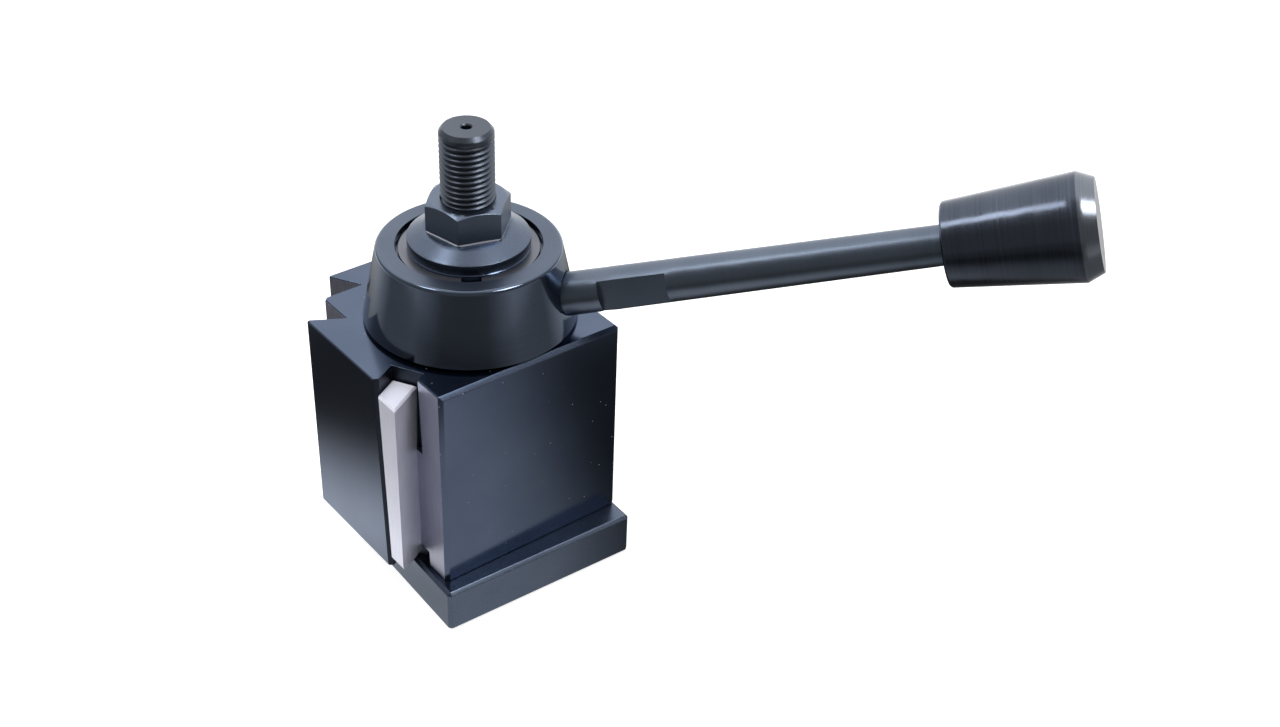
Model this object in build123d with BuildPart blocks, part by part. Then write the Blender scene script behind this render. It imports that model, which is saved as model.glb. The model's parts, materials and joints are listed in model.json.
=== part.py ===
from build123d import *
import os
from math import atan, cos, pi, radians, sin, tan

# Quick-change tool post for a small lathe. The origin is on the stud's axis, on the underside of
# the T-nut. +Z goes up the stud, and the block's plain front face looks along -Y.
# One dovetail stands on the block's left side (-X), the other on its rear side (+Y), and each is
# the mirror image of the other in the upright plane through the block's front right corner.

# T-nut and stud
tnut_width = 58.3
tnut_length = 67.6
tnut_thickness = 12.9
tnut_edge = 0.9
tnut_turn = -2.2
stud_diameter = 14.0
stud_end_reach = 19.5
stud_end_gap = 1.0
stud_chamfer = 0.9
stud_chamfer_height = 1.3
centre_drill_diameter = 2.7
centre_drill_depth = 5.0
centre_drill_mouth = 4.0
thread_clearance = 0.05

# Block
block_width = 56.0
block_height = 59.7
block_edge = 0.3
block_corner = 1.05
plain_top_edge = 1.1
cavity_diameter = 47.0
floor_thickness = 9.0
stud_hole_diameter = 15.0

# Dovetails: the distances are from the stud's axis, along the side that the dovetail stands on
dovetail_depth = 8.75
dovetail_angle = 30.0
flank_tip_edge = 0.6
fixed_flank_edge = 21.6
wedge_flank_edge = 20.9

# Leaning slots for the wedges, sized at the top of the block
slot_lean_angle = 2.0
slot_wall_edge = 12.6
slot_wall_chamfer = 1.6
slot_width = 9.0
slot_depth = 8.0
slot_overcut = 3.0

# Wedges
wedge_top_drop = 4.0
wedge_bottom_rise = 2.9
wedge_clearance = 0.15
wedge_edge = 0.5
wedge_toe_radius = 2.0
lug_bottom_rise = 4.7
lug_height = 31.9
tongue_width = 5.2
tongue_height = 8.0
tongue_rise = 18.0

# Travel of the wedges and their carrier, from the drawn place
wedge_travel_down = 2.5
wedge_travel_up = 2.4
window_end_gap = 0.4

# Centre post, with its flange on the block's floor and screws from below
centre_post_diameter = 31.6
centre_post_chamfer = 0.5
flange_side_clearance = 0.5
flange_thickness = 2.5
screw_count = 4
screw_azimuth = 45.0
screw_ring_diameter = 23.4
screw_diameter = 4.0
screw_length = 12.0
screw_head_diameter = 7.0
screw_head_height = 4.0
screw_socket_width = 3.0
screw_socket_depth = 2.0
screw_hole_clearance = 0.25
counterbore_clearance = 0.35
tapping_end_gap = 1.6

# Hub
hub_gap = 0.3
hub_height = 20.95
hub_bottom_diameter = 56.1
hub_top_diameter = 47.8
hub_top_radius = 1.3
hub_bottom_chamfer = 0.7
hub_recess_clearance = 0.8
hub_recess_depth = 3.3
running_clearance = 0.05

# Snap ring and the thrust washer below it
ring_thickness = 1.5
ring_width = 3.05
ring_groove_depth = 0.7
ring_gap_angle = 16.0
ring_gap_azimuth = 238.0
thrust_washer_thickness = 0.8
thrust_washer_clearance = 0.3
axial_play = 0.05

# Drive screw and the follower ring that it lifts and lowers
screw_lead = 20.0
screw_starts = 3
drive_wall = 2.05
drive_end_gap = 0.5
drive_collar_depth = 6.5
land_height = 1.4
land_flank_angle = 15.0
land_flank_clearance = 0.05
land_root_sink = 0.3
land_end_margin = 2.6
land_relief_height = 1.0
thread_radial_clearance = 0.3
follower_height = 14.0
follower_side_gap = 0.2
follower_wall = 1.1
notch_side_clearance = 0.45
notch_end_clearance = 0.1
notch_floor_clearance = 0.3
drive_pin_diameter = 3.0
drive_pin_count = 3

# Handle: its axis crosses the stud's axis and rises outwards, clear of the block at the hub's edge
handle_azimuth = -49.7
handle_tilt = 17.2
rod_block_clearance = 4.35
rod_hub_diameter = 11.4
rod_knob_diameter = 10.1
rod_seat_depth = 0.6
rod_seat_clearance = 0.3
rod_spigot_diameter = 8.4
rod_spigot_wall = 1.4
rod_knob_end = 124.5
rod_knob_spigot = 19.0
rod_knob_spigot_diameter = 8.0
flat_start = 37.0
flat_length = 18.0
flat_width = 7.5
flat_tilt = -3.0
knob_taper_length = 32.0
knob_small_diameter = 21.1
knob_large_diameter = 26.6
knob_chamfer_length = 4.1
knob_end_diameter = 22.9
knob_small_edge = 0.5
knob_bore_end_gap = 1.0

# Clamp washer and nut
washer_diameter = 31.7
washer_rim_height = 2.4
washer_crown_diameter = 22.0
washer_crown_height = 5.1
washer_bore_clearance = 0.3
nut_across_flats = 19.6
nut_height = 8.4
nut_chamfer_angle = 30.0
nut_top_diameter = 18.9
nut_foot_chamfer = 0.4
nut_corner_azimuth = 222.7

# Heights that follow from the values above
block_bottom = tnut_thickness
block_top = block_bottom + block_height
floor_top = block_bottom + floor_thickness
half_block = block_width / 2
dovetail_face = half_block + dovetail_depth
hub_bottom = block_top + hub_gap
hub_top = hub_bottom + hub_height
recess_floor = hub_top - hub_recess_depth
ring_bottom = recess_floor + thrust_washer_thickness + axial_play
ring_top = ring_bottom + ring_thickness
post_top = hub_top
washer_top = post_top + washer_crown_height
nut_top = washer_top + nut_height
stud_top = nut_top + stud_end_reach
tongue_top = block_bottom + tongue_rise + tongue_height
follower_centre = tongue_top - tongue_height / 2
follower_bottom = follower_centre - follower_height / 2
follower_top = follower_bottom + follower_height
drive_bottom = floor_top + flange_thickness + drive_end_gap
land_top = follower_top + wedge_travel_up + land_end_margin
collar_top = hub_bottom + drive_collar_depth

# Radii from the stud outwards
stud_radius = stud_diameter / 2
post_radius = centre_post_diameter / 2
groove_radius = post_radius - ring_groove_depth
ring_inner_radius = groove_radius + running_clearance
ring_outer_radius = ring_inner_radius + ring_width
hub_recess_radius = ring_outer_radius + hub_recess_clearance
hub_bore_radius = post_radius + running_clearance
drive_root_radius = hub_bore_radius + drive_wall
drive_crest_radius = drive_root_radius + land_height
collar_bore_radius = drive_crest_radius + running_clearance
follower_crest_radius = drive_root_radius + thread_radial_clearance
follower_root_radius = drive_crest_radius + thread_radial_clearance
flange_radius = follower_crest_radius - flange_side_clearance
notch_floor_radius = follower_root_radius + follower_wall
tongue_tip_radius = notch_floor_radius + notch_floor_clearance
follower_outer_radius = cavity_diameter / 2 - follower_side_gap

# The slot's walls run inwards along this direction, which the fixed flank mirrors
undercut = radians(dovetail_angle)
lean = radians(slot_lean_angle)
inward = Vector(cos(undercut), sin(undercut), 0)
across = Vector(inward.Y, -inward.X, 0)
slot_direction = Vector(0, -sin(lean), -cos(lean))
slot_back_radius = Vector(dovetail_face, slot_wall_edge, 0).dot(inward) - slot_depth
diagonal_mirror = Plane(origin=(0, 0, 0), z_dir=(1, 1, 0))
hexagon_sides = 6


def corner_swap(point):
    """Mirror a point of the left side onto the rear side."""
    return (-point[1], -point[0])


def slot_plane(height):
    """Level plane with x outwards along the slot's walls, shifted as the slot leans."""
    shift = (height - block_top) * tan(lean)
    return Plane(origin=(0, shift, height), x_dir=-inward, z_dir=(0, 0, 1))


def wall_offset(edge_distance):
    """Distance from the axis to a line along the slot's walls that meets the dovetail's face."""
    return Vector(-dovetail_face, -edge_distance, 0).dot(across)


def leaning_length(height):
    """Length along the slot that drops by the height."""
    return height / cos(lean)


slot_wall = wall_offset(slot_wall_edge)
slot_far_wall = slot_wall + slot_width
slot_middle = (slot_wall + slot_far_wall) / 2
wedge_flank = wall_offset(wedge_flank_edge)
slot_reach = 2 * dovetail_face


def finish(builder, label):
    """Name the piece and write it to its own file."""
    builder.part.label = label
    export_step(builder.part, f"parts/{label}.step")


os.makedirs("parts", exist_ok=True)


# T-nut
with BuildPart() as t_nut:
    with BuildSketch():
        Rectangle(tnut_width, tnut_length, rotation=tnut_turn)
    extrude(amount=tnut_thickness)
    chamfer(t_nut.edges(), length=tnut_edge)
    Hole(radius=stud_diameter / 2 + thread_clearance)
finish(t_nut, "t_nut")


# Stud
with BuildPart() as stud:
    with BuildSketch(Plane.XZ):
        with BuildLine():
            Polyline(
                (0, stud_end_gap),
                (stud_radius - stud_chamfer, stud_end_gap),
                (stud_radius, stud_end_gap + stud_chamfer),
                (stud_radius, stud_top - stud_chamfer_height),
                (stud_radius - stud_chamfer, stud_top),
                (centre_drill_mouth / 2, stud_top),
                (centre_drill_diameter / 2, stud_top - centre_drill_diameter / 2),
                (centre_drill_diameter / 2, stud_top - centre_drill_depth),
                (0, stud_top - centre_drill_depth - centre_drill_diameter / 2),
                close=True,
            )
        make_face()
    revolve(axis=Axis.Z)
finish(stud, "stud")


# Space that one wedge slides in: the open leaning slot, and the window for its tongue
window_drop = wedge_travel_down + window_end_gap
window_rise = wedge_travel_up + window_end_gap
window_top = tongue_top + window_rise
window_height = tongue_height + window_drop + window_rise
window_width = tongue_width + 2 * wedge_clearance
with BuildPart() as slot_space:
    with BuildSketch(slot_plane(block_top + slot_overcut)):
        with Locations((slot_back_radius, slot_middle)):
            Rectangle(slot_reach, slot_width, align=(Align.MIN, Align.CENTER))
    extrude(amount=leaning_length(block_height + 2 * slot_overcut), dir=slot_direction)
    with BuildSketch(slot_plane(window_top)):
        with Locations((0, slot_middle)):
            Rectangle(slot_back_radius + slot_overcut, window_width, align=(Align.MIN, Align.CENTER))
    extrude(amount=leaning_length(window_height), dir=slot_direction)


# Block
dovetail_run = dovetail_depth * tan(undercut)
wall_run = dovetail_face * tan(undercut)
dovetail_outline = [
    (0, fixed_flank_edge - dovetail_run),
    (-half_block, fixed_flank_edge - dovetail_run),
    (-dovetail_face, fixed_flank_edge),
    (-dovetail_face, -wall_run),
    (0, 0),
]
fixed_corner = (-dovetail_face, fixed_flank_edge)
upright_corners = [(sx * half_block, sy * half_block, block_corner) for sx in (-1, 1) for sy in (-1, 1)]
upright_corners += [(*corner, flank_tip_edge) for corner in (fixed_corner, corner_swap(fixed_corner))]
screw_hole_radius = screw_diameter / 2 + screw_hole_clearance
counterbore_depth = screw_head_height + counterbore_clearance
head_seat = block_bottom + counterbore_depth
with BuildPart() as body_block:
    with BuildSketch(Plane.XY.offset(block_bottom)):
        Rectangle(block_width, block_width)
        for outline in (dovetail_outline, [corner_swap(point) for point in dovetail_outline]):
            with BuildLine():
                Polyline(*outline, close=True)
            make_face()
    extrude(amount=block_height)
    for x, y, bevel in upright_corners:
        upright = Vector(x, y, block_bottom + block_height / 2)
        chamfer(body_block.edges().sort_by_distance(upright)[0], length=bevel)
    chamfer(body_block.edges().filter_by(Axis.Z, reverse=True), length=block_edge)
    for side in (Vector(0, -1, 0), Vector(1, 0, 0)):
        bevel_foot = side * half_block + Vector(0, 0, block_top - plain_top_edge)
        split(bisect_by=Plane(origin=bevel_foot, z_dir=side + Vector(0, 0, 1)), keep=Keep.BOTTOM)
    add(slot_space.part, mode=Mode.SUBTRACT)
    mirror(slot_space.part, about=diagonal_mirror, mode=Mode.SUBTRACT)
    wall_corner = Vector(-dovetail_face, -slot_wall_edge, block_top)
    wall_corner += slot_direction * leaning_length(block_height / 2)
    rear_corner = Vector(*corner_swap((wall_corner.X, wall_corner.Y)), wall_corner.Z)
    for corner in (wall_corner, rear_corner):
        chamfer(body_block.edges().sort_by_distance(corner)[0], length=slot_wall_chamfer)
    with BuildSketch(Plane.XY.offset(floor_top)):
        Circle(cavity_diameter / 2)
    extrude(amount=block_height, mode=Mode.SUBTRACT)
    with BuildSketch(Plane.XY.offset(block_bottom)):
        Circle(stud_hole_diameter / 2)
    extrude(amount=floor_thickness, mode=Mode.SUBTRACT)
    with Locations(Plane(origin=(0, 0, block_bottom), z_dir=(0, 0, -1))):
        with PolarLocations(screw_ring_diameter / 2, screw_count, start_angle=screw_azimuth):
            CounterBoreHole(
                radius=screw_hole_radius,
                counter_bore_radius=screw_head_diameter / 2 + counterbore_clearance,
                counter_bore_depth=counterbore_depth,
                depth=floor_thickness,
            )
finish(body_block, "body_block")


# Wedges: the clamping flank stands upright, while the back follows the leaning slot
wedge_bottom = block_bottom + wedge_bottom_rise
wedge_top = block_top - wedge_top_drop
wedge_back_radius = slot_back_radius + wedge_clearance
bar_width = slot_width - 2 * wedge_clearance
lug_top = block_bottom + lug_bottom_rise + lug_height
tongue_length = wedge_back_radius - tongue_tip_radius
front_cut = Plane(origin=(-dovetail_face, 0, 0), z_dir=(1, 0, 0))
strip_cut = Plane(origin=(-half_block + wedge_clearance, 0, 0), z_dir=(1, 0, 0))
flank_cut = Plane(origin=across * wedge_flank, z_dir=across)

# The bar fills the slot's width before its flank is cut
with BuildPart() as wedge_bar:
    with BuildSketch(slot_plane(wedge_top)):
        with Locations((wedge_back_radius, slot_middle)):
            Rectangle(slot_reach, bar_width, align=(Align.MIN, Align.CENTER))
    extrude(amount=leaning_length(wedge_top - wedge_bottom), dir=slot_direction)
    split(bisect_by=front_cut, keep=Keep.TOP)
    split(bisect_by=flank_cut, keep=Keep.BOTTOM)
    back_edge = wedge_bar.faces().sort_by(Axis.X)[0].edges().sort_by(Axis.Y)[-1]
    chamfer(back_edge, length=wedge_edge)
    toe = wedge_bar.faces().sort_by(Axis.Z)[0]
    fillet(toe.edges().sort_by(Axis.X)[0], radius=wedge_toe_radius)
    chamfer(wedge_bar.faces().sort_by(Axis.Z)[-1].edges(), length=wedge_edge)

# The lug fills the slot beside the strip, below the flank's foot
with BuildPart() as wedge_lug:
    with BuildSketch(slot_plane(lug_top)):
        with Locations((wedge_back_radius, slot_middle)):
            Rectangle(slot_reach, bar_width, align=(Align.MIN, Align.CENTER))
    extrude(amount=leaning_length(lug_height), dir=slot_direction)
    split(bisect_by=strip_cut, keep=Keep.TOP)

with BuildPart() as wedge_left:
    add(wedge_bar.part)
    add(wedge_lug.part)
    with BuildSketch(slot_plane(tongue_top)):
        with Locations((tongue_tip_radius, slot_middle)):
            Rectangle(tongue_length + wedge_edge, tongue_width, align=(Align.MIN, Align.CENTER))
    extrude(amount=leaning_length(tongue_height), dir=slot_direction)
finish(wedge_left, "wedge_left")

with BuildPart() as wedge_rear:
    mirror(wedge_left.part, about=diagonal_mirror)
finish(wedge_rear, "wedge_rear")


# Centre post: the stud passes through it, the hub turns on it and the flange stands on the floor
post_bore_radius = stud_hole_diameter / 2
tapping_depth = head_seat + screw_length + tapping_end_gap - floor_top
with BuildPart() as center_post:
    with BuildSketch(Plane.XZ):
        with BuildLine():
            Polyline(
                (post_bore_radius, floor_top),
                (flange_radius, floor_top),
                (flange_radius, floor_top + flange_thickness),
                (post_radius, floor_top + flange_thickness),
                (post_radius, ring_bottom - axial_play),
                (groove_radius, ring_bottom - axial_play),
                (groove_radius, ring_top + axial_play),
                (post_radius, ring_top + axial_play),
                (post_radius, post_top - centre_post_chamfer),
                (post_radius - centre_post_chamfer, post_top),
                (post_bore_radius, post_top),
                close=True,
            )
        make_face()
    revolve(axis=Axis.Z)
    with Locations(Plane(origin=(0, 0, floor_top), z_dir=(0, 0, -1))):
        with PolarLocations(screw_ring_diameter / 2, screw_count, start_angle=screw_azimuth):
            Hole(radius=screw_diameter / 2 + thread_clearance, depth=tapping_depth)
finish(center_post, "center_post")


# Cap screws that hold the centre post from below, their heads inside the block's underside
with BuildPart() as center_post_screws:
    with BuildSketch(Plane.XY.offset(head_seat - screw_head_height)):
        with PolarLocations(screw_ring_diameter / 2, screw_count, start_angle=screw_azimuth):
            Circle(screw_head_diameter / 2)
    extrude(amount=screw_head_height)
    with BuildSketch(Plane.XY.offset(head_seat)):
        with PolarLocations(screw_ring_diameter / 2, screw_count, start_angle=screw_azimuth):
            Circle(screw_diameter / 2)
    extrude(amount=screw_length)
    with BuildSketch(Plane.XY.offset(head_seat - screw_head_height)):
        with PolarLocations(screw_ring_diameter / 2, screw_count, start_angle=screw_azimuth):
            RegularPolygon(screw_socket_width / 2, side_count=hexagon_sides, major_radius=False)
    extrude(amount=screw_socket_depth, mode=Mode.SUBTRACT)
finish(center_post_screws, "center_post_screws")


# Frame of the handle: z runs out along the rod and x lies level
tilt = radians(handle_tilt)
turn = radians(handle_azimuth)
rod_direction = Vector(cos(tilt) * cos(turn), cos(tilt) * sin(turn), sin(tilt))
level_side = Vector(sin(turn), -cos(turn), 0)
rod_radius = rod_hub_diameter / 2
rod_edge_height = block_top + rod_block_clearance + rod_radius / cos(tilt)
rod_origin = Vector(0, 0, rod_edge_height - hub_bottom_diameter / 2 * tan(tilt))


def rod_plane(distance):
    """Plane across the rod at a distance from the stud's axis."""
    return Plane(origin=rod_origin + rod_direction * distance, x_dir=level_side, z_dir=rod_direction)


# Where the rod's axis leaves the hub's cone, and where its spigot's hole ends
cone_slope = (hub_bottom_diameter - hub_top_diameter) / 2 / hub_height
cone_start = hub_bottom_diameter / 2 - (rod_origin.Z - hub_bottom) * cone_slope
cone_exit = cone_start / (cos(tilt) + sin(tilt) * cone_slope)
rod_seat = cone_exit - rod_seat_depth
spigot_hole_end = (collar_bore_radius + rod_spigot_wall) / cos(tilt)


# Hub: a cone with a sunk top, turning on the centre post
pin_azimuth = handle_azimuth + 180 / drive_pin_count
with BuildPart() as hub:
    with BuildSketch(Plane.XZ):
        with BuildLine():
            Polyline(
                (collar_bore_radius, hub_bottom),
                (hub_bottom_diameter / 2 - hub_bottom_chamfer, hub_bottom),
                (hub_bottom_diameter / 2, hub_bottom + hub_bottom_chamfer),
                (hub_top_diameter / 2, hub_top),
                (hub_recess_radius, hub_top),
                (hub_recess_radius, recess_floor),
                (hub_bore_radius, recess_floor),
                (hub_bore_radius, collar_top),
                (collar_bore_radius, collar_top),
                close=True,
            )
        make_face()
    revolve(axis=Axis.Z)
    top_circles = hub.faces().filter_by(Axis.Z).sort_by(Axis.Z)[-1].edges().sort_by(SortBy.RADIUS)
    fillet(top_circles[-1], radius=hub_top_radius)
    with BuildSketch(rod_plane(rod_seat)):
        Circle(rod_radius + rod_seat_clearance)
    extrude(amount=rod_hub_diameter, mode=Mode.SUBTRACT)
    with BuildSketch(rod_plane(spigot_hole_end)):
        Circle(rod_spigot_diameter / 2 + thread_clearance)
    extrude(amount=rod_seat - spigot_hole_end, mode=Mode.SUBTRACT)
    with BuildSketch(Plane.XY.offset(hub_bottom)):
        with PolarLocations(drive_crest_radius, drive_pin_count, start_angle=pin_azimuth):
            Circle(drive_pin_diameter / 2 + thread_clearance)
    extrude(amount=drive_collar_depth, mode=Mode.SUBTRACT)
finish(hub, "hub")


# Left-hand lands of the drive thread, so that turning the handle clockwise lowers the wedges
start_pitch = screw_lead / screw_starts
helix_angle = atan(screw_lead / (2 * pi * drive_crest_radius))
land_middle_width = start_pitch / 2 * cos(helix_angle) - land_flank_clearance
land_taper = land_height * tan(radians(land_flank_angle))
land_root_width = land_middle_width + land_taper
land_crest_width = land_middle_width - land_taper


def drive_lands(root_radius, crest_radius, start_height, bottom, top):
    """Helical lands from a root to a crest, begun at a height and cut level at both ends."""
    outwards = 1 if crest_radius > root_radius else -1
    crest_step = crest_radius - root_radius
    with BuildPart() as lands:
        with BuildLine(Plane.XY.offset(start_height)) as path:
            Helix(
                pitch=screw_lead,
                height=top + start_pitch - start_height,
                radius=root_radius,
                lefthand=True,
            )
        first_edge = path.edges()[0]
        section_plane = Plane(origin=first_edge @ 0, x_dir=(1, 0, 0), z_dir=first_edge % 0)
        with BuildSketch(section_plane) as section:
            with BuildLine():
                Polyline(
                    (-outwards * land_root_sink, -land_root_width / 2),
                    (0, -land_root_width / 2),
                    (crest_step, -land_crest_width / 2),
                    (crest_step, land_crest_width / 2),
                    (0, land_root_width / 2),
                    (-outwards * land_root_sink, land_root_width / 2),
                    close=True,
                )
            make_face()
        land = sweep(sections=section.sketch, path=path.line, is_frenet=True, mode=Mode.PRIVATE)
        with PolarLocations(0, screw_starts):
            add(land)
        split(bisect_by=Plane.XY.offset(bottom), keep=Keep.TOP)
        split(bisect_by=Plane.XY.offset(top), keep=Keep.BOTTOM)
    return lands.part


# Drive screw: the sleeve below the hub, locked to it by half-sunk dowel pins
screw_lands = drive_lands(
    root_radius=drive_root_radius,
    crest_radius=drive_crest_radius,
    start_height=drive_bottom - start_pitch,
    bottom=drive_bottom,
    top=land_top,
)
relief_top = land_top + land_relief_height
with BuildPart() as drive_screw:
    with BuildSketch(Plane.XZ):
        with BuildLine():
            Polyline(
                (hub_bore_radius, drive_bottom),
                (drive_root_radius, drive_bottom),
                (drive_root_radius, relief_top),
                (drive_crest_radius, relief_top),
                (drive_crest_radius, collar_top - axial_play),
                (hub_bore_radius, collar_top - axial_play),
                close=True,
            )
        make_face()
    revolve(axis=Axis.Z)
    add(screw_lands)
    with BuildSketch(Plane.XY.offset(hub_bottom)):
        with PolarLocations(drive_crest_radius, drive_pin_count, start_angle=pin_azimuth):
            Circle(drive_pin_diameter / 2 + thread_clearance)
    extrude(amount=drive_collar_depth, mode=Mode.SUBTRACT)
finish(drive_screw, "drive_screw")

with BuildPart() as drive_pins:
    with BuildSketch(Plane.XY.offset(hub_bottom + axial_play)):
        with PolarLocations(drive_crest_radius, drive_pin_count, start_angle=pin_azimuth):
            Circle(drive_pin_diameter / 2)
    extrude(amount=drive_collar_depth - 2 * axial_play)
finish(drive_pins, "drive_pins")


# Notch of the follower ring, with room for the wedge's sideways drift as it slides
notch_width = tongue_width + 2 * notch_side_clearance
with BuildPart() as notch_space:
    with BuildSketch(slot_plane(follower_centre)):
        with Locations((notch_floor_radius, slot_middle)):
            Rectangle(cavity_diameter / 2, notch_width, align=(Align.MIN, Align.CENTER))
    extrude(amount=tongue_height / 2 + notch_end_clearance, both=True)

# Follower ring: its lands run half a pitch from the screw's, and the tongues sit in its notches
follower_lands = drive_lands(
    root_radius=follower_root_radius,
    crest_radius=follower_crest_radius,
    start_height=drive_bottom - start_pitch / 2,
    bottom=follower_bottom,
    top=follower_top,
)
with BuildPart() as follower_ring:
    with BuildSketch(Plane.XY.offset(follower_bottom)):
        Circle(follower_outer_radius)
        Circle(follower_root_radius, mode=Mode.SUBTRACT)
    extrude(amount=follower_height)
    add(follower_lands)
    add(notch_space.part, mode=Mode.SUBTRACT)
    mirror(notch_space.part, about=diagonal_mirror, mode=Mode.SUBTRACT)
finish(follower_ring, "follower_ring")


# Thrust washer on the recess's floor, and the snap ring in the centre post's groove
with BuildPart() as thrust_washer:
    with BuildSketch(Plane.XY.offset(recess_floor)):
        Circle(hub_recess_radius - thrust_washer_clearance)
        Circle(hub_bore_radius, mode=Mode.SUBTRACT)
    extrude(amount=thrust_washer_thickness)
finish(thrust_washer, "thrust_washer")

gap_width = 2 * ring_outer_radius * sin(radians(ring_gap_angle) / 2)
gap_reach = 2 * ring_outer_radius
with BuildPart() as snap_ring:
    with BuildSketch(Plane.XY.offset(ring_bottom)):
        Circle(ring_outer_radius)
        Circle(ring_inner_radius, mode=Mode.SUBTRACT)
        with Locations(Location((0, 0, 0), (0, 0, ring_gap_azimuth))):
            Rectangle(gap_reach, gap_width, align=(Align.MIN, Align.CENTER), mode=Mode.SUBTRACT)
    extrude(amount=ring_thickness)
finish(snap_ring, "snap_ring")


# Handle rod: it tapers towards the knob, has a spigot at each end and carries two wrench flats
rod_spigot_start = spigot_hole_end + rod_seat_clearance
rod_profile_plane = Plane(origin=rod_origin, x_dir=rod_direction, z_dir=level_side)
with BuildPart() as handle_rod:
    with BuildSketch(rod_profile_plane):
        with BuildLine():
            Polyline(
                (rod_spigot_start, 0),
                (rod_spigot_start, rod_spigot_diameter / 2),
                (rod_seat, rod_spigot_diameter / 2),
                (rod_seat, rod_radius),
                (rod_knob_end, rod_knob_diameter / 2),
                (rod_knob_end, rod_knob_spigot_diameter / 2),
                (rod_knob_end + rod_knob_spigot, rod_knob_spigot_diameter / 2),
                (rod_knob_end + rod_knob_spigot, 0),
                close=True,
            )
        make_face()
    revolve(axis=Axis(rod_origin, rod_direction))
    with BuildSketch(rod_plane(flat_start)):
        Circle(rod_hub_diameter)
        Rectangle(flat_width, 2 * rod_hub_diameter, rotation=flat_tilt, mode=Mode.SUBTRACT)
    extrude(amount=flat_length, mode=Mode.SUBTRACT)
finish(handle_rod, "handle_rod")


# Knob, screwed onto the rod's end
knob_large_end = rod_knob_end + knob_taper_length
knob_bore_radius = rod_knob_spigot_diameter / 2 + thread_clearance
with BuildPart() as knob:
    with BuildSketch(rod_profile_plane):
        with BuildLine():
            Polyline(
                (rod_knob_end, knob_bore_radius),
                (rod_knob_end, knob_small_diameter / 2 - knob_small_edge),
                (rod_knob_end + knob_small_edge, knob_small_diameter / 2),
                (knob_large_end, knob_large_diameter / 2),
                (knob_large_end + knob_chamfer_length, knob_end_diameter / 2),
                (knob_large_end + knob_chamfer_length, 0),
                (rod_knob_end + rod_knob_spigot + knob_bore_end_gap, 0),
                (rod_knob_end + rod_knob_spigot + knob_bore_end_gap, knob_bore_radius),
                close=True,
            )
        make_face()
    revolve(axis=Axis(rod_origin, rod_direction))
finish(knob, "knob")


# Clamp washer with its raised crown, which the nut presses on
washer_bore_radius = stud_diameter / 2 + washer_bore_clearance
with BuildPart() as clamp_washer:
    with BuildSketch(Plane.XZ):
        with BuildLine():
            Polyline(
                (washer_bore_radius, post_top),
                (washer_diameter / 2, post_top),
                (washer_diameter / 2, post_top + washer_rim_height),
                (washer_crown_diameter / 2, washer_top),
                (washer_bore_radius, washer_top),
                close=True,
            )
        make_face()
    revolve(axis=Axis.Z)
finish(clamp_washer, "clamp_washer")


# Clamp nut: a hexagon trimmed by a turned profile
nut_bore_radius = stud_diameter / 2 + thread_clearance
nut_corner_radius = nut_across_flats / 2 / cos(pi / hexagon_sides)
nut_top_radius = nut_top_diameter / 2
nut_crown_drop = (nut_corner_radius - nut_top_radius) * tan(radians(nut_chamfer_angle))
with BuildPart() as clamp_nut:
    with BuildSketch(Plane.XY.offset(washer_top)):
        RegularPolygon(nut_corner_radius, side_count=hexagon_sides, rotation=nut_corner_azimuth)
        Circle(nut_bore_radius, mode=Mode.SUBTRACT)
    extrude(amount=nut_height)
    with BuildSketch(Plane.XZ):
        with BuildLine():
            Polyline(
                (0, washer_top),
                (nut_corner_radius - nut_foot_chamfer, washer_top),
                (nut_corner_radius, washer_top + nut_foot_chamfer),
                (nut_corner_radius, nut_top - nut_crown_drop),
                (nut_top_radius, nut_top),
                (0, nut_top),
                close=True,
            )
        make_face()
    revolve(axis=Axis.Z, mode=Mode.INTERSECT)
finish(clamp_nut, "clamp_nut")
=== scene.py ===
"""Looks of a wedge-type lathe tool post: finishes, screw thread, edges, light and camera."""
import json
from math import atan2, ceil, cos, pi, radians, sin, tan

import bmesh
import bpy
from mathutils import Matrix, Vector

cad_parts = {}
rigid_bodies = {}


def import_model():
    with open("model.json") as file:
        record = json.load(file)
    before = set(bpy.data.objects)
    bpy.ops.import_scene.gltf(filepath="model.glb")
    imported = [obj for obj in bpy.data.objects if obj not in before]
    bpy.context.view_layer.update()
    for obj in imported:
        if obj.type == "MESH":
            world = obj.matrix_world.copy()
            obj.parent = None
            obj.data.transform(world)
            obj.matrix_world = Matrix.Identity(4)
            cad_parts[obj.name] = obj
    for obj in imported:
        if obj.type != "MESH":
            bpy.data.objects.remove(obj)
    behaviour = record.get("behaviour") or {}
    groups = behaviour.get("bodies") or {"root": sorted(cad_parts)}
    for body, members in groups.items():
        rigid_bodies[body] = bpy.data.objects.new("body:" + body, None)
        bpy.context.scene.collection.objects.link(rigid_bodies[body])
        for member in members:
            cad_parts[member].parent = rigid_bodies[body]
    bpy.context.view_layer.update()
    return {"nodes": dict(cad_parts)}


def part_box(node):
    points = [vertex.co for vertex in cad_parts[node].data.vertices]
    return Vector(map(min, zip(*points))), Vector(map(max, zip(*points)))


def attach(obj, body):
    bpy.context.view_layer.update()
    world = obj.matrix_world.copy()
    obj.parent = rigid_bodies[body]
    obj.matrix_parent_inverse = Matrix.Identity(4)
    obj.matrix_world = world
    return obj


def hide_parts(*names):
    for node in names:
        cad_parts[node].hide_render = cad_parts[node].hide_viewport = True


for leftover in list(bpy.data.objects):
    bpy.data.objects.remove(leftover)
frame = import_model()
nodes = frame["nodes"]
hub_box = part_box("hub")

MM = 0.001

# Camera: where it stands, how it is turned, and its lens
EYE = Vector((-0.21236, -0.32436, 0.32820))
VIEW_AZIMUTH = radians(39.862)
VIEW_ELEVATION = radians(35.034)
VIEW_ROLL = radians(2.357)
LENS_MM = 49.532
SENSOR_MM = 36.0
NEAREST_SEEN = 0.01

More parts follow.
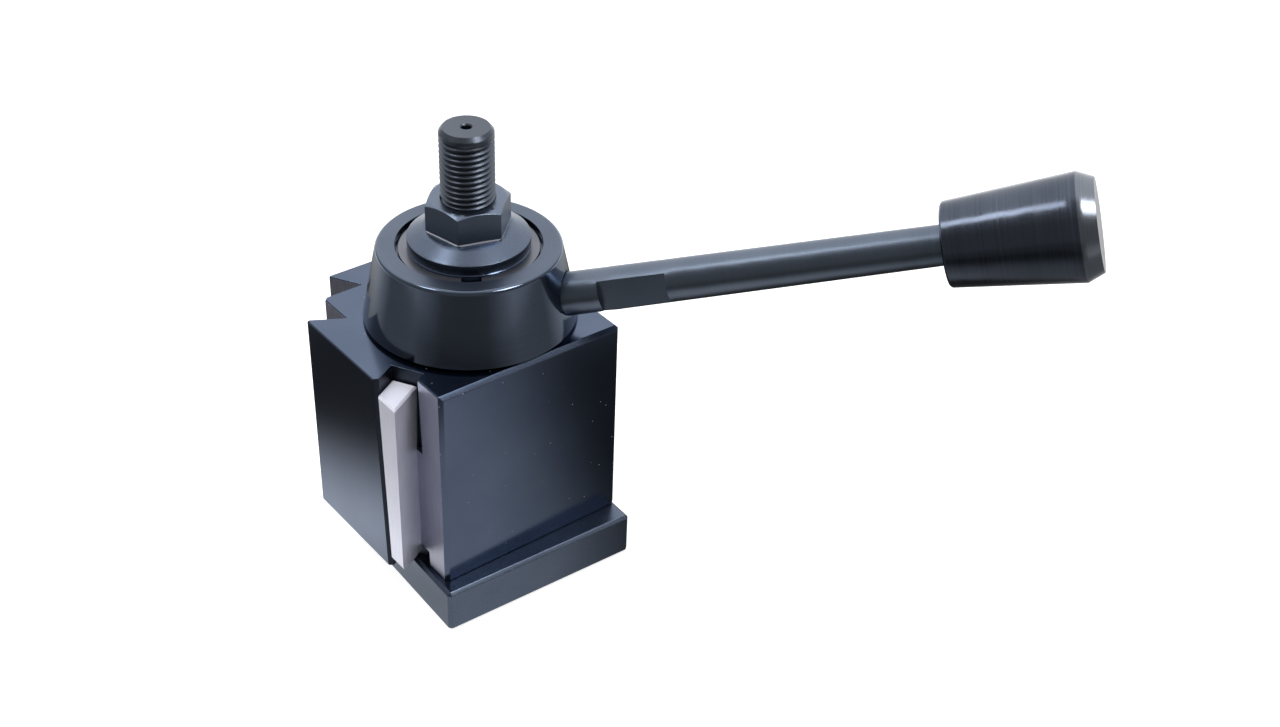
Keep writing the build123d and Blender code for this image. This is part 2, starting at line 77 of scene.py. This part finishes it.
# Lamps: name, place, what it faces, width, height, watts, and whether metal mirrors it
LAMPS = (
    ("softbox_left", (-0.62, -0.10, 0.40), (0.0, 0.0, 0.04), 0.45, 0.35, 2.7, False),
    ("softbox_top", (-0.15, 0.05, 0.85), (0.0, 0.0, 0.06), 0.40, 0.40, 5.0, False),
    ("softbox_back", (-0.31, 0.21, 0.87), (0.05, -0.05, 0.08), 0.19, 0.19, 0.72, True),
    ("softbox_right", (0.22, -0.42, 0.80), (0.0, 0.0, 0.08), 0.28, 0.28, 2.2, True),
)

# Room as metal mirrors it: it brightens away from the camera and upwards
ROOM_RISE = 0.9
ROOM_REACH = 1.345
ROOM_LEVELS = ((0.0, 0.20), (0.55, 0.46), (0.75, 1.15))

# Table: its size, its own tone, and how bright the camera sees it before light falls on it
TABLE_HALF = 3.0
TABLE_TONE = 0.5
TABLE_GLOW = 0.78

# Painted reflection of the table beside the post: the table glows only for rays that metal
# mirrors, with a painted bright patch between two lines, which is brighter behind a third and
# fades out between two distances from the stud's axis, and a painted dim rest, a painted shadow,
# which is less dim in front of a fourth line. Each line has a point on it, the direction in which
# it is crossed, and how far the change reaches to both sides.
PATCH_RIGHT = ((0.031, -0.070, 0.0), (-0.91, -0.42, 0.0), 0.025)
PATCH_LEFT = ((-0.062, 0.030, 0.0), (0.934, -0.357, 0.0), 0.020)
PATCH_REAR = ((-0.040, 0.005, 0.0), (-0.50, 0.86, 0.0), 0.025)
FRONT_LINE = ((0.0, -0.120, 0.0), (0.0, -1.0, 0.0), 0.008)
PATCH_FADE = (0.115, 0.160)
PATCH_LEVEL = 0.66
PATCH_REAR_LEVEL = 1.25
DIM_LEVEL = 0.05
FRONT_LEVEL = 0.34

# Painted reflection of the table farther off, glowing only for rays that metal mirrors, past a
# blend between two distances: the levels run from the camera's side round to the far side, and
# are dimmer up to a step at a third distance
FAR_BLEND = (0.13, 0.24)
FAR_LEVELS = ((0.0, 0.12), (0.04, 0.14), (0.20, 0.54), (0.50, 0.50), (0.72, 1.6))
FAR_STEP = (0.385, 0.415)
FAR_STEP_LEVEL = 0.45

# Handle: its axis starts on the stud's axis, and leaves the hub turned and tilted
HANDLE_AZIMUTH = radians(-49.7)
HANDLE_TILT = radians(17.2)
HANDLE_START = Vector((0.0, 0.0, 74.234 * MM))
HANDLE_AXIS = Vector((cos(HANDLE_TILT) * cos(HANDLE_AZIMUTH),
                      cos(HANDLE_TILT) * sin(HANDLE_AZIMUTH),
                      sin(HANDLE_TILT)))

# Tool marks: how fine they are along three directions, and the axis that they run round. Their
# noise keeps a scale of 1, because the directions are stretched before it.
TOOL_MARKS = {
    "plain": ((5000.0, 5000.0, 5000.0), None),
    "ground": ((5200.0, 5200.0, 160.0), None),
    "turned": ((9000.0, 9000.0, 9000.0), "stud"),
    "handle_turned": ((9000.0, 9000.0, 9000.0), "handle"),
    "handle_coarse": ((2600.0, 2600.0, 2600.0), "handle"),
}
MARKS_NOISE = {"Scale": 1.0, "Detail": 2.0}
CLOUD_NOISE = {"Scale": 45.0, "Detail": 4.0, "Roughness": 0.55}
GRAIN_NOISE = {"Scale": 2600.0, "Detail": 3.0}

# Cloud and marks together shade the colour, and the marks alone the roughness, over these ranges
SHADE_RANGE = (0.75, 1.25)
GLOSS_RANGE = (0.3, 0.7)

# Painted highlight: a light band round the nut's foot, for the bright line that its lower edge
# reflects; and dust
FOOT_HIGHLIGHT_HEIGHT = 0.95 * MM
FOOT_HIGHLIGHT_COLOUR = (0.70, 0.71, 0.78, 1.0)
FOOT_HIGHLIGHT_METALLIC = 0.5
DUST_CELLS = 420.0
DUST_SIZE = 0.08
DUST_COLOUR = (0.16, 0.18, 0.21, 1.0)

# Finishes: darkest and lightest colour, roughness and how far it varies, and tool marks
FINISHES = {
    "block_black": dict(dark=(0.094, 0.124, 0.190), light=(0.122, 0.156, 0.230),
                        roughness=0.17, spread=0.02, marks="plain", marks_depth=0.0006 * MM,
                        dust=0.35),
    "hub_black": dict(dark=(0.112, 0.142, 0.196), light=(0.142, 0.175, 0.236),
                      roughness=0.11, spread=0.02, marks="turned", marks_depth=0.0015 * MM),
    "rod_black": dict(dark=(0.128, 0.158, 0.208), light=(0.164, 0.198, 0.256),
                      roughness=0.35, spread=0.02, marks="handle_turned",
                      marks_depth=0.0008 * MM),
    "knob_black": dict(dark=(0.076, 0.090, 0.120), light=(0.108, 0.126, 0.164),
                       roughness=0.21, spread=0.06, marks="handle_coarse",
                       marks_depth=0.0040 * MM),
    # Painted highlight: a lighter finish for the knob's end chamfer
    "knob_chamfer_highlight": dict(dark=(0.16, 0.18, 0.21), light=(0.22, 0.24, 0.28),
                      roughness=0.24, spread=0.02, marks="handle_turned",
                      marks_depth=0.0022 * MM),
    "satin_black": dict(dark=(0.104, 0.132, 0.186), light=(0.138, 0.170, 0.234),
                        roughness=0.30, spread=0.03, marks="plain", marks_depth=0.0012 * MM),
    # The nut's finish paints a light band at its foot, a painted highlight
    "nut_black": dict(dark=(0.140, 0.174, 0.238), light=(0.180, 0.220, 0.294),
                      roughness=0.31, spread=0.02, marks="plain", marks_depth=0.0008 * MM,
                      highlight_from=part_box("clamp_nut")[0].z),
    "ground_bright": dict(dark=(0.72, 0.73, 0.85), light=(0.84, 0.85, 0.96), metallic=0.62,
                          roughness=0.42, spread=0.05, marks="ground", marks_depth=0.004 * MM),
    "ground_grey": dict(dark=(0.42, 0.43, 0.52), light=(0.54, 0.55, 0.65),
                        roughness=0.40, spread=0.05, marks="ground", marks_depth=0.003 * MM),
    "spring_grey": dict(dark=(0.15, 0.16, 0.19), light=(0.23, 0.24, 0.28), metallic=0.90,
                        roughness=0.34, spread=0.04, marks="turned", marks_depth=0.003 * MM),
    # Painted shade: the slot walls get this darker finish where little light falls
    "slot_painted_shade": dict(dark=(0.024, 0.030, 0.042), light=(0.042, 0.050, 0.066),
                       roughness=0.36, spread=0.05, marks="plain", marks_depth=0.002 * MM),
    "hub_satin": dict(dark=(0.108, 0.136, 0.188), light=(0.138, 0.170, 0.228),
                      roughness=0.34, spread=0.03, marks="turned", marks_depth=0.0015 * MM),
    "stud_black": dict(dark=(0.090, 0.105, 0.135), light=(0.125, 0.145, 0.180),
                       roughness=0.35, spread=0.03, marks="plain", marks_depth=0.001 * MM),
}

# Nodes with each finish; the stud is made anew below, and gets its finish there
NODE_FINISHES = {
    "block_black": ("body_block", "center_post", "drive_screw"),
    "hub_black": ("hub",),
    "rod_black": ("handle_rod",),
    "knob_black": ("knob",),
    "satin_black": ("t_nut", "center_post_screws", "clamp_washer"),
    "nut_black": ("clamp_nut",),
    "ground_bright": ("wedge_left", "wedge_rear", "drive_pins", "follower_ring"),
    "spring_grey": ("thrust_washer", "snap_ring"),
}

# Faces with a second finish. Those of the block are known by the way they look, given by the
# angle from +X, and by how far they stand from the stud's axis.
HALF_BLOCK = 28.0 * MM
FLANK_REACH = 0.332 * MM
STRIP_ANGLES = (180, 90)
FLANK_ANGLES = (60, 210)
SLOT_WALL_ANGLES = (30, 60, 210, 240, 300, 330)
GROUND_FACES = (*((angle, HALF_BLOCK) for angle in STRIP_ANGLES),
                *((angle, FLANK_REACH) for angle in FLANK_ANGLES))
GROUND_FACING = 0.999
SLOT_FACING = 0.98
SAME_REACH = 0.05 * MM
LUG_REACH = 29.5 * MM
HUB_TOP_FACING = 0.99
HUB_TOP_ZONE = 1.2 * MM
KNOB_CHAMFER_FACING = (0.3, 0.6)
KNOB_CHAMFER_START = 156.0 * MM

# Edge breaks: their width on each node
EDGE_BREAKS = {
    "body_block": 0.12 * MM,
    "t_nut": 0.15 * MM,
    "wedge_left": 0.18 * MM,
    "wedge_rear": 0.18 * MM,
    "clamp_nut": 0.14 * MM,
    "clamp_washer": 0.15 * MM,
    "snap_ring": 0.12 * MM,
    "hub": 0.12 * MM,
    "center_post": 0.15 * MM,
    "knob": 0.2 * MM,
    "handle_rod": 0.12 * MM,
}
EDGE_ANGLE = radians(30)
EDGE_SEGMENTS = 2
EDGE_WELD = 0.002 * MM
FLAT_WEIGHT = 80

# Stud: metric thread of fine pitch that runs out under a plain neck, and chamfered ends
THREAD_PITCH = 1.5 * MM
THREAD_CREST_RADIUS = 6.98 * MM
THREAD_ROOT_RADIUS = 6.12 * MM
THREAD_DEPTH = THREAD_CREST_RADIUS - THREAD_ROOT_RADIUS
THREAD_SEGMENTS = 96
THREAD_RUNOUT = 0.5 * THREAD_PITCH
END_PLAIN = 1.2 * MM
END_CHAMFER_HEIGHT = 1.1 * MM
END_CHAMFER_DEPTH = 0.95 * MM
DRILL_MOUTH_RADIUS = 1.6 * MM
DRILL_MOUTH_DEPTH = 0.35 * MM
DRILL_RADIUS = 1.3 * MM
DRILL_DEPTH = 2.6 * MM
DRILL_TIP_ANGLE = radians(30)
STUD_WELD = 0.0005 * MM
SAME_HEIGHT = 0.001 * MM
SHARP_ANGLE = radians(28)

# One pitch of the thread: share of the pitch, and share of the depth below the crest
THREAD_PROFILE = ((0.00, 0.0), (0.14, 0.0), (0.17, 0.05), (0.46, 0.93),
                  (0.50, 1.0), (0.62, 1.0), (0.66, 0.93), (0.97, 0.05))


# Nodes of materials and world

def add_node(tree, kind, inputs=None, **settings):
    """A new node; inputs maps a socket to a value, or to the socket that feeds it."""
    node = tree.nodes.new(kind)
    for name, value in settings.items():
        setattr(node, name, value)
    for key, value in (inputs or {}).items():
        if isinstance(value, bpy.types.NodeSocket):
            tree.links.new(value, node.inputs[key])
        else:
            node.inputs[key].default_value = value
    return node


def add_math(tree, operation, *terms, **settings):
    """The outcome of a calculation with numbers."""
    return add_node(tree, "ShaderNodeMath", dict(enumerate(terms)),
                    operation=operation, **settings).outputs[0]


def add_vector_math(tree, operation, *terms):
    """The outcome of a calculation with vectors, a number for lengths and dot products."""
    node = add_node(tree, "ShaderNodeVectorMath", dict(enumerate(terms)), operation=operation)
    return node.outputs["Value" if operation in ("LENGTH", "DOT_PRODUCT") else "Vector"]


def add_span(tree, value, start, end, low=0.0, high=1.0, shape="LINEAR"):
    """A number that runs from low to high while value runs from start to end."""
    return add_node(tree, "ShaderNodeMapRange",
                    {"Value": value, "From Min": start, "From Max": end,
                     "To Min": low, "To Max": high},
                    interpolation_type=shape).outputs[0]


def add_choice(tree, share, low, high):
    """A number that is low where share is 0, and high where it is 1."""
    return add_node(tree, "ShaderNodeMix", {0: share, 2: low, 3: high},
                    data_type="FLOAT").outputs[0]


def add_colour_choice(tree, share, low, high):
    """A colour that is low where share is 0, and high where it is 1."""
    return add_node(tree, "ShaderNodeMix", {0: share, 6: low, 7: high},
                    data_type="RGBA").outputs[2]


def add_noise(tree, coords, look):
    """A cloudy pattern between 0 and 1."""
    return add_node(tree, "ShaderNodeTexNoise", {"Vector": coords, **look}).outputs["Fac"]


def grey(level):
    """A colour without hue."""
    return (level, level, level, 1.0)


def add_ramp(tree, share, levels):
    """Brightness that runs through the levels, given as pairs of share and brightness."""
    ramp = add_node(tree, "ShaderNodeValToRGB", {"Fac": share})
    for position, _ in levels[2:]:
        ramp.color_ramp.elements.new(position)
    for stop, (position, brightness) in zip(ramp.color_ramp.elements, levels):
        stop.position = position
        stop.color = grey(brightness)
    return ramp.outputs["Color"]


def empty_material(name):
    """A material with no nodes yet, and its tree."""
    material = bpy.data.materials.new(name)
    material.use_nodes = True
    material.node_tree.nodes.clear()
    return material, material.node_tree


# Camera and stage

def new_object(name, data):
    """An object in the scene."""
    made = bpy.data.objects.new(name, data)
    bpy.context.scene.collection.objects.link(made)
    return made


def place_camera():
    """The photograph's viewpoint, with no shift."""
    forward = Vector((sin(VIEW_AZIMUTH) * cos(VIEW_ELEVATION),
                      cos(VIEW_AZIMUTH) * cos(VIEW_ELEVATION),
                      -sin(VIEW_ELEVATION)))
    level_right = Vector((cos(VIEW_AZIMUTH), -sin(VIEW_AZIMUTH), 0.0))
    level_up = level_right.cross(forward)
    right = cos(VIEW_ROLL) * level_right + sin(VIEW_ROLL) * level_up
    up = cos(VIEW_ROLL) * level_up - sin(VIEW_ROLL) * level_right
    data = bpy.data.cameras.new("camera")
    data.lens = LENS_MM
    data.sensor_width = SENSOR_MM
    data.clip_start = NEAREST_SEEN
    camera = new_object("camera", data)
    turned = Matrix((right, up, -forward)).transposed().to_4x4()
    camera.matrix_world = Matrix.Translation(EYE) @ turned
    bpy.context.scene.camera = camera
    bpy.context.scene.view_settings.view_transform = "Standard"


def add_softbox(name, place, aim, width, height, watts, mirrored):
    """A rectangular soft light that faces aim; metal mirrors it only if mirrored."""
    data = bpy.data.lights.new(name, "AREA")
    data.shape = "RECTANGLE"
    data.size = width
    data.size_y = height
    data.energy = watts
    lamp = new_object(name, data)
    lamp.visible_glossy = mirrored
    place = Vector(place)
    turned = (place - Vector(aim)).to_track_quat("Z", "Y").to_matrix().to_4x4()
    lamp.matrix_world = Matrix.Translation(place) @ turned


def build_world():
    """White to look at or through; else brighter upwards and away from the camera."""
    world = bpy.data.worlds.new("studio")
    bpy.context.scene.world = world
    world.use_nodes = True
    tree = world.node_tree
    tree.nodes.clear()
    path = add_node(tree, "ShaderNodeLightPath")
    direction = add_node(tree, "ShaderNodeTexCoord").outputs["Generated"]
    away = add_vector_math(tree, "DOT_PRODUCT", direction,
                           (sin(VIEW_AZIMUTH), cos(VIEW_AZIMUTH), ROOM_RISE))
    level = add_ramp(tree, add_span(tree, away, 0.0, ROOM_REACH), ROOM_LEVELS)
    room = add_node(tree, "ShaderNodeBackground", {"Color": level, "Strength": 1.0})
    white = add_node(tree, "ShaderNodeBackground", {"Color": grey(1.0), "Strength": 1.0})
    through = add_math(tree, "MAXIMUM",
                       path.outputs["Is Camera Ray"], path.outputs["Is Transmission Ray"])
    chosen = add_node(tree, "ShaderNodeMixShader",
                      {0: through, 1: room.outputs[0], 2: white.outputs[0]})
    add_node(tree, "ShaderNodeOutputWorld", {"Surface": chosen.outputs[0]})


def past_line(tree, coords, point, direction, softness):
    """0 before a line on the table and 1 past it, with a soft change."""
    from_point = add_vector_math(tree, "SUBTRACT", coords, point)
    reach = add_vector_math(tree, "DOT_PRODUCT", from_point, Vector(direction).normalized())
    return add_span(tree, reach, -softness, softness, shape="SMOOTHSTEP")


def painted_near_reflection(tree, coords, reach):
    """The painted reflection of the table beside the post: how brightly it glows for rays that
    metal mirrors.
    """
    strip = add_math(tree, "MULTIPLY",
                     past_line(tree, coords, *PATCH_RIGHT), past_line(tree, coords, *PATCH_LEFT))
    close = add_span(tree, reach, *PATCH_FADE, 1.0, 0.0, shape="SMOOTHSTEP")
    patch = add_math(tree, "MULTIPLY", strip, close)
    rear = past_line(tree, coords, *PATCH_REAR)
    bright = add_span(tree, rear, 0.0, 1.0, PATCH_LEVEL, PATCH_REAR_LEVEL)
    front = past_line(tree, coords, *FRONT_LINE)
    dim = add_span(tree, front, 0.0, 1.0, DIM_LEVEL, FRONT_LEVEL)
    return add_span(tree, patch, 0.0, 1.0, dim, bright)


def painted_far_reflection(tree, coords, reach):
    """The painted reflection of the table farther off: how brightly it glows for rays that metal
    mirrors.
    """
    side = add_vector_math(tree, "NORMALIZE", coords)
    towards = add_vector_math(tree, "DOT_PRODUCT", side,
                              (-sin(VIEW_AZIMUTH), -cos(VIEW_AZIMUTH), 0.0))
    ring = add_ramp(tree, add_span(tree, towards, 1.0, -1.0), FAR_LEVELS)
    step = add_span(tree, reach, *FAR_STEP, FAR_STEP_LEVEL, 1.0, shape="SMOOTHSTEP")
    return add_math(tree, "MULTIPLY", ring, step)


def build_floor():
    """A white table with a soft shadow, which glows for rays that metal mirrors with painted
    bright and dim places.
    """
    data = bpy.data.meshes.new("floor")
    corners = [(x * TABLE_HALF, y * TABLE_HALF, 0)
               for x, y in ((-1, -1), (1, -1), (1, 1), (-1, 1))]
    data.from_pydata(corners, [], [(0, 1, 2, 3)])
    floor = new_object("floor", data)
    material, tree = empty_material("white_table")
    path = add_node(tree, "ShaderNodeLightPath")
    is_camera = path.outputs["Is Camera Ray"]
    is_glossy = path.outputs["Is Glossy Ray"]
    coords = add_node(tree, "ShaderNodeTexCoord").outputs["Object"]
    reach = add_vector_math(tree, "LENGTH", coords)
    far = add_span(tree, reach, *FAR_BLEND, shape="SMOOTHSTEP")
    # Painted reflection: bright and dim places on the table that only metal sees
    mirrored = add_choice(tree, far, painted_near_reflection(tree, coords, reach),
                          painted_far_reflection(tree, coords, reach))
    # The table glows white for the camera, and with the painted reflection for rays that metal
    # mirrors
    strength = add_choice(tree, is_camera, add_choice(tree, is_glossy, 0.0, mirrored), TABLE_GLOW)
    glow = add_node(tree, "ShaderNodeEmission", {"Color": grey(1.0), "Strength": strength})
    lit = add_node(tree, "ShaderNodeBsdfDiffuse",
                   {"Color": add_choice(tree, is_glossy, TABLE_TONE, 0.0)})
    both = add_node(tree, "ShaderNodeAddShader", {0: lit.outputs[0], 1: glow.outputs[0]})
    add_node(tree, "ShaderNodeOutputMaterial", {"Surface": both.outputs[0]})
    data.materials.append(material)


# Finishes

def from_handle(tree, coords):
    """Places measured from the start of the handle's axis, which becomes Z."""
    rotation = (0.0, pi / 2 - HANDLE_TILT, HANDLE_AZIMUTH)
    return add_node(tree, "ShaderNodeMapping",
                    {"Vector": coords, "Location": HANDLE_START, "Rotation": rotation},
                    vector_type="TEXTURE").outputs[0]


def round_axis(tree, coords):
    """Distance from Z and place along it, so that a pattern on them runs round the piece."""
    parts = add_node(tree, "ShaderNodeSeparateXYZ", {0: coords})
    flat = add_node(tree, "ShaderNodeCombineXYZ",
                    {"X": parts.outputs["X"], "Y": parts.outputs["Y"]})
    reach = add_vector_math(tree, "LENGTH", flat.outputs[0])
    return add_node(tree, "ShaderNodeCombineXYZ",
                    {"X": reach, "Y": parts.outputs["Z"]}).outputs[0]


def tool_marks(tree, coords, marks):
    """The pattern of the tool marks, between 0 and 1."""
    stretch, axis = TOOL_MARKS[marks]
    if axis == "handle":
        coords = from_handle(tree, coords)
    if axis is not None:
        coords = round_axis(tree, coords)
    return add_noise(tree, add_vector_math(tree, "MULTIPLY", coords, stretch), MARKS_NOISE)


def foot_highlight_band(tree, coords, cloud, bottom):
    """1 on the painted highlight band at the foot, above bottom, and 0 elsewhere, with an uneven
    upper edge.
    """
    height = add_node(tree, "ShaderNodeSeparateXYZ", {0: coords}).outputs["Z"]
    limit = add_math(tree, "MULTIPLY_ADD", cloud, FOOT_HIGHLIGHT_HEIGHT, bottom)
    return add_math(tree, "LESS_THAN", height, limit)


def dust_specks(tree, coords, share):
    """1 on the specks of dust and 0 elsewhere; share of the cells hold one."""
    cells = add_node(tree, "ShaderNodeTexVoronoi", {"Vector": coords, "Scale": DUST_CELLS})
    drawn = add_node(tree, "ShaderNodeSeparateColor", {0: cells.outputs["Color"]}).outputs[0]
    near = add_math(tree, "LESS_THAN", cells.outputs["Distance"], DUST_SIZE)
    rare = add_math(tree, "LESS_THAN", drawn, share)
    return add_math(tree, "MULTIPLY", near, rare)


def steel(name, dark, light, roughness, spread, marks, marks_depth,
          metallic=1.0, dust=0.0, highlight_from=None):
    """A metal finish: clouded colour and tool marks, and on some pieces a painted highlight band
    at the foot, on others dust.
    """
    material, tree = empty_material(name)
    coords = add_node(tree, "ShaderNodeTexCoord").outputs["Object"]
    cloud = add_noise(tree, coords, CLOUD_NOISE)
    grain = add_noise(tree, coords, GRAIN_NOISE)
    lines = tool_marks(tree, coords, marks)
    shade = add_span(tree, add_math(tree, "ADD", cloud, lines), *SHADE_RANGE)
    colour = add_colour_choice(tree, shade, (*dark, 1.0), (*light, 1.0))
    gloss = add_span(tree, lines, *GLOSS_RANGE, roughness - spread, roughness + spread)
    # Painted highlight: a light band round the foot
    if highlight_from is not None:
        highlight_share = foot_highlight_band(tree, coords, cloud, highlight_from)
        colour = add_colour_choice(tree, highlight_share, colour, FOOT_HIGHLIGHT_COLOUR)
        metallic = add_choice(tree, highlight_share, metallic, FOOT_HIGHLIGHT_METALLIC)
    if dust:
        speck = dust_specks(tree, coords, dust)
        colour = add_colour_choice(tree, speck, colour, DUST_COLOUR)
        metallic = add_math(tree, "SUBTRACT", metallic, speck, use_clamp=True)
    bump = add_node(tree, "ShaderNodeBump",
                    {"Strength": 1.0, "Distance": marks_depth,
                     "Height": add_math(tree, "ADD", lines, grain)})
    surface = add_node(tree, "ShaderNodeBsdfPrincipled",
                       {"Base Color": colour, "Metallic": metallic, "Roughness": gloss,
                        "Normal": bump.outputs[0]})
    add_node(tree, "ShaderNodeOutputMaterial", {"Surface": surface.outputs[0]})
    return material


def paint(name, material):
    """Gives a node its finish."""
    data = nodes[name].data
    data.materials.clear()
    data.materials.append(material)


def paint_faces(name, material, chosen):
    """Gives a second finish to the faces of a node that are chosen by centre and direction."""
    data = nodes[name].data
    data.materials.append(material)
    for face in data.polygons:
        if chosen(face.center, face.normal):
            face.material_index = len(data.materials) - 1


def level_direction(angle):
    """The horizontal direction at an angle in degrees from +X."""
    return Vector((cos(radians(angle)), sin(radians(angle)), 0.0))


def is_ground(centre, normal):
    """The strips beside the wedges, and the flanks of the dovetails that stand fast."""
    for angle, reach in GROUND_FACES:
        direction = level_direction(angle)
        off = abs(centre.dot(direction) - reach)
        if normal.dot(direction) > GROUND_FACING and off < SAME_REACH:
            return True
    return False


def is_slot_wall(centre, normal):
    """The side walls and the backs of the wedge slots, painted darker as shade where little light
    falls.
    """
    if any(normal.dot(level_direction(angle)) > SLOT_FACING for angle in SLOT_WALL_ANGLES):
        return True
    return any(normal.dot(direction) > SLOT_FACING
               and centre.dot(direction) < HALF_BLOCK - SAME_REACH
               for direction in map(level_direction, STRIP_ANGLES))


def is_lug(centre, _normal):
    """The lug beside a wedge, painted in the darker grey of the strip that it slides along, as
    shade where it sits back in the slot.
    """
    return max(-centre.x, centre.y) < LUG_REACH


def is_hub_top(centre, normal):
    """The flat ring on top of the hub."""
    return normal.z > HUB_TOP_FACING and hub_box[1].z - centre.z < HUB_TOP_ZONE


def is_knob_chamfer(centre, normal):
    """The chamfer at the knob's outer end, which gets a lighter finish as a painted highlight."""
    least, most = KNOB_CHAMFER_FACING
    return (least < normal.dot(HANDLE_AXIS) < most
            and (centre - HANDLE_START).dot(HANDLE_AXIS) > KNOB_CHAMFER_START)


def soften_edges(name, width):
    """A fine machined edge break."""
    piece = nodes[name]
    weld = piece.modifiers.new("weld", "WELD")
    weld.merge_threshold = EDGE_WELD
    bevel = piece.modifiers.new("edge_break", "BEVEL")
    bevel.width = width
    bevel.segments = EDGE_SEGMENTS
    bevel.limit_method = "ANGLE"
    bevel.angle_limit = EDGE_ANGLE
    bevel.use_clamp_overlap = True
    normals = piece.modifiers.new("normals", "WEIGHTED_NORMAL")
    normals.weight = FLAT_WEIGHT
    normals.keep_sharp = False


# Stud

def stud_reach(z, bottom, top):
    """How far the stud may reach at a height, with both ends chamfered."""
    from_end = min(top - z, z - bottom)
    if from_end >= END_CHAMFER_HEIGHT:
        return THREAD_CREST_RADIUS
    return THREAD_CREST_RADIUS - END_CHAMFER_DEPTH * (1 - from_end / END_CHAMFER_HEIGHT)


def thread_columns(shape, bottom, top):
    """Points of the thread, in one column from bottom to top for each step round the stud."""
    turns = ceil((top - bottom) / THREAD_PITCH) + 2
    thread_top = top - END_PLAIN - END_CHAMFER_HEIGHT
    columns = []
    for i in range(THREAD_SEGMENTS):
        angle = 2 * pi * i / THREAD_SEGMENTS
        column = []
        for turn in range(-1, turns):
            for share, cut in THREAD_PROFILE:
                rise = bottom + (turn + share + i / THREAD_SEGMENTS) * THREAD_PITCH
                fade = min(1.0, max(0.0, (thread_top - rise) / THREAD_RUNOUT))
                z = min(max(rise, bottom), top)
                radius = min(THREAD_CREST_RADIUS - cut * THREAD_DEPTH * fade,
                             stud_reach(z, bottom, top))
                column.append(shape.verts.new((radius * cos(angle), radius * sin(angle), z)))
        columns.append(column)
    return columns


def join_columns(shape, columns):
    """Faces between neighbouring columns; across the seam the thread is one pitch higher."""
    for i, here in enumerate(columns):
        last = i == len(columns) - 1
        there = columns[0] if last else columns[i + 1]
        shift = len(THREAD_PROFILE) if last else 0
        for j in range(len(here) - 1 - shift):
            shape.faces.new((here[j], there[j + shift], there[j + 1 + shift], here[j + 1]))


def open_rim(shape, height):
    """The points of the open edges at a height, in order round the axis."""
    rim = set()
    for edge in shape.edges:
        if edge.is_boundary and all(abs(v.co.z - height) < SAME_HEIGHT for v in edge.verts):
            rim.update(edge.verts)
    return sorted(rim, key=lambda v: atan2(v.co.y, v.co.x))


def ring_of(shape, like, radius, height):
    """A ring of points at the same angles as another ring."""
    made = []
    for v in like:
        angle = atan2(v.co.y, v.co.x)
        made.append(shape.verts.new((radius * cos(angle), radius * sin(angle), height)))
    return made


def bridge(shape, outer, inner):
    """Faces between two rings with the same number of points."""
    for i in range(len(outer)):
        k = (i + 1) % len(outer)
        shape.faces.new((outer[i], outer[k], inner[k], inner[i]))


def close_ring(shape, ring, height):
    """Faces from a ring to a point on the axis."""
    centre = shape.verts.new((0.0, 0.0, height))
    for i in range(len(ring)):
        shape.faces.new((ring[i], ring[(i + 1) % len(ring)], centre))


def drilled_end(shape, height):
    """The upper end: a disc with a centre-drilled hole."""
    rim = open_rim(shape, height)
    rings = [rim]
    for radius, depth in ((DRILL_MOUTH_RADIUS, 0.0), (DRILL_RADIUS, DRILL_MOUTH_DEPTH),
                          (DRILL_RADIUS, DRILL_DEPTH)):
        rings.append(ring_of(shape, rim, radius, height - depth))
    for outer, inner in zip(rings, rings[1:]):
        bridge(shape, outer, inner)
    close_ring(shape, rings[-1], height - DRILL_DEPTH - DRILL_RADIUS * tan(DRILL_TIP_ANGLE))


def build_stud():
    """The stud with a real helical thread, centre drilled at its upper end."""
    low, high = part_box("stud")
    shape = bmesh.new()
    join_columns(shape, thread_columns(shape, low.z, high.z))
    bmesh.ops.remove_doubles(shape, verts=shape.verts, dist=STUD_WELD)
    bmesh.ops.dissolve_degenerate(shape, edges=shape.edges, dist=STUD_WELD)
    drilled_end(shape, high.z)
    close_ring(shape, open_rim(shape, low.z), low.z)
    bmesh.ops.recalc_face_normals(shape, faces=shape.faces)
    data = bpy.data.meshes.new("threaded_stud")
    shape.to_mesh(data)
    shape.free()
    data.shade_smooth()
    data.set_sharp_from_angle(angle=SHARP_ANGLE)
    stud = new_object("threaded_stud", data)
    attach(stud, "base")
    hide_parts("stud")
    return stud


place_camera()
build_world()
build_floor()
for lamp in LAMPS:
    add_softbox(*lamp)

materials = {name: steel(name, **look) for name, look in FINISHES.items()}
for finish, painted in NODE_FINISHES.items():
    for name in painted:
        paint(name, materials[finish])
# Painted shade on the walls of the wedge slots
paint_faces("body_block", materials["slot_painted_shade"], is_slot_wall)
paint_faces("body_block", materials["ground_grey"], is_ground)
paint_faces("hub", materials["hub_satin"], is_hub_top)
# Painted highlight on the knob's end chamfer
paint_faces("knob", materials["knob_chamfer_highlight"], is_knob_chamfer)
# Painted shade on the wedges' lugs, which sit back in the slots
for name in ("wedge_left", "wedge_rear"):
    paint_faces(name, materials["ground_grey"], is_lug)
build_stud().data.materials.append(materials["stud_black"])

for name, width in EDGE_BREAKS.items():
    soften_edges(name, width)
